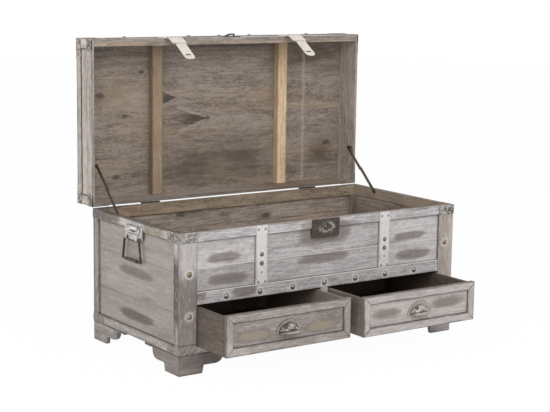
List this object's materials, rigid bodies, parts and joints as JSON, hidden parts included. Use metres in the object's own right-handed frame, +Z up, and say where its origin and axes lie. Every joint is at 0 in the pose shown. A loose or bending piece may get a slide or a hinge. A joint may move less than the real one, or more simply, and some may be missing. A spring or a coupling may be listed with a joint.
{
  "type": "mule chest",
  "caption": "Whitewashed plank mule chest: trunk with a stayed flat lid and drop hasps over a row of drawers with cup pulls, on bracket feet, with bail handles on the ends",
  "frame": {"origin": "on the floor, at the bottom centre of the box round the chest as it stands open: lid up, drawers out as pictured", "axes": "X runs along the chest from its left end to its right end, -Y is its front, +Z is up"},
  "size_m": [1.028, 0.788, 0.9196],
  "materials": {
    "whitewash": "thin whitewash over planed pine, rubbed through to grey",
    "whitewash_pale": "denser whitewash, nearly opaque",
    "weathered": "grey-brown stained planks, open grain",
    "raw_pine": "bare pine, oiled",
    "drawer_wood": "brown stained drawer sides",
    "caps": "sheet metal brushed over with whitewash",
    "hasp_metal": "pale painted sheet metal, worn at the edges",
    "dark_iron": "dark browned iron",
    "lock_iron": "dark bronze-brown plate",
    "steel": "dull steel nail heads",
    "brass": "dull brass nail heads"
  },
  "bodies": {
    "carcass": {"end_planks": "whitewash", "front_planks": "whitewash", "back_planks": "whitewash", "trunk_floor": "weathered", "drawer_floor": "weathered", "front_stiles": "whitewash", "front_rails": "whitewash", "front_straps": "whitewash_pale", "end_strips": "whitewash", "back_strips": "whitewash", "rim_cleats": "weathered", "corner_posts": "weathered", "drawer_guides": "weathered", "foot_front_left": "whitewash", "foot_front_right": "whitewash", "foot_back_left": "whitewash", "foot_back_right": "whitewash", "corner_caps": "caps", "steel_nails": "steel", "brass_nails": "brass", "lock_case": "lock_iron", "lock_plate": "lock_iron", "hinge_leaves": "dark_iron", "stay_pins": "dark_iron", "hasp_pegs": "steel", "bail_plates": "caps"},
    "lid": {"lid_walls": "weathered", "lid_top_boards": "weathered", "lid_front_cleat": "raw_pine", "lid_battens": "raw_pine", "lid_end_strips": "whitewash", "lid_long_strips": "whitewash", "lid_top_strips": "whitewash", "lid_corner_caps": "caps", "lid_nails": "steel", "lid_hinge_leaves": "dark_iron", "lid_stay_pins": "dark_iron", "hasp_bases": "hasp_metal", "lift_ring": "dark_iron"},
    "drawer_left": {"drawer_panel_left": "whitewash", "drawer_frame_left": "whitewash", "drawer_box_left": "drawer_wood", "drawer_bottom_left": "drawer_wood", "cup_pull_left": "caps"},
    "hasp_link_left": {"hasp_link_left": "hasp_metal"},
    "hasp_tongue_left": {"hasp_tongue_left": "hasp_metal"},
    "bail_left": {"bail_left": "dark_iron"},
    "stay_lower_left": {"stay_lower_left": "dark_iron"},
    "stay_upper_left": {"stay_upper_left": "dark_iron"},
    "drawer_right": {"drawer_panel_right": "whitewash", "drawer_frame_right": "whitewash", "drawer_box_right": "drawer_wood", "drawer_bottom_right": "drawer_wood", "cup_pull_right": "caps"},
    "hasp_link_right": {"hasp_link_right": "hasp_metal"},
    "hasp_tongue_right": {"hasp_tongue_right": "hasp_metal"},
    "bail_right": {"bail_right": "dark_iron"},
    "stay_lower_right": {"stay_lower_right": "dark_iron"},
    "stay_upper_right": {"stay_upper_right": "dark_iron"}
  },
  "joints": [
    {"name": "lid_hinge", "type": "hinge", "parent": "carcass", "child": "lid", "pos_m": [0, 0.2985, 0.4045], "axis": [1, 0, 0], "range_deg": [0, 90]},
    {"name": "drawer_left_slide", "type": "slide", "parent": "carcass", "child": "drawer_left", "axis": [0, -1, 0], "range_m": [-0.1495, 0.1705]},
    {"name": "bail_left_swing", "type": "hinge", "parent": "carcass", "child": "bail_left", "pos_m": [-0.508, 0.046, 0.354], "axis": [0, 1, 0], "range_deg": [0, 100]},
    {"name": "hasp_link_left_turn", "type": "hinge", "parent": "lid", "child": "hasp_link_left", "pos_m": [-0.225, 0.2815, 0.911], "axis": [1, 0, 0], "range_deg": [-31, 0]},
    {"name": "hasp_tongue_left_turn", "type": "hinge", "parent": "hasp_link_left", "child": "hasp_tongue_left", "pos_m": [-0.225, 0.24675, 0.89329], "axis": [1, 0, 0], "range_deg": [-120, 0]},
    {"name": "stay_lower_left_turn", "type": "hinge", "parent": "carcass", "child": "stay_lower_left", "pos_m": [-0.481, 0.1675, 0.395], "axis": [1, 0, 0], "range_deg": [-29.54, 0]},
    {"name": "stay_upper_left_turn", "type": "hinge", "parent": "lid", "child": "stay_upper_left", "pos_m": [-0.479, 0.3115, 0.529], "axis": [1, 0, 0], "range_deg": [0, 47.92]},
    {"name": "drawer_right_slide", "type": "slide", "parent": "carcass", "child": "drawer_right", "axis": [0, -1, 0], "range_m": [-0.172, 0.148]},
    {"name": "bail_right_swing", "type": "hinge", "parent": "carcass", "child": "bail_right", "pos_m": [0.508, 0.046, 0.354], "axis": [0, -1, 0], "range_deg": [0, 100]},
    {"name": "hasp_link_right_turn", "type": "hinge", "parent": "lid", "child": "hasp_link_right", "pos_m": [0.225, 0.2815, 0.911], "axis": [1, 0, 0], "range_deg": [-31, 0]},
    {"name": "hasp_tongue_right_turn", "type": "hinge", "parent": "hasp_link_right", "child": "hasp_tongue_right", "pos_m": [0.225, 0.24675, 0.89329], "axis": [1, 0, 0], "range_deg": [-120, 0]},
    {"name": "stay_lower_right_turn", "type": "hinge", "parent": "carcass", "child": "stay_lower_right", "pos_m": [0.481, 0.1675, 0.395], "axis": [1, 0, 0], "range_deg": [-29.54, 0]},
    {"name": "stay_upper_right_turn", "type": "hinge", "parent": "lid", "child": "stay_upper_right", "pos_m": [0.479, 0.3115, 0.529], "axis": [1, 0, 0], "range_deg": [0, 47.92]}
  ],
  "couplings": [
    {"joint": "hasp_link_left_turn", "follows": "lid_hinge", "ratio": -0.34444},
    {"joint": "stay_lower_left_turn", "follows": "lid_hinge", "ratio": -0.32813},
    {"joint": "stay_upper_left_turn", "follows": "lid_hinge", "ratio": 0.53229},
    {"joint": "hasp_link_right_turn", "follows": "lid_hinge", "ratio": -0.34444},
    {"joint": "stay_lower_right_turn", "follows": "lid_hinge", "ratio": -0.32813},
    {"joint": "stay_upper_right_turn", "follows": "lid_hinge", "ratio": 0.53229}
  ]
}
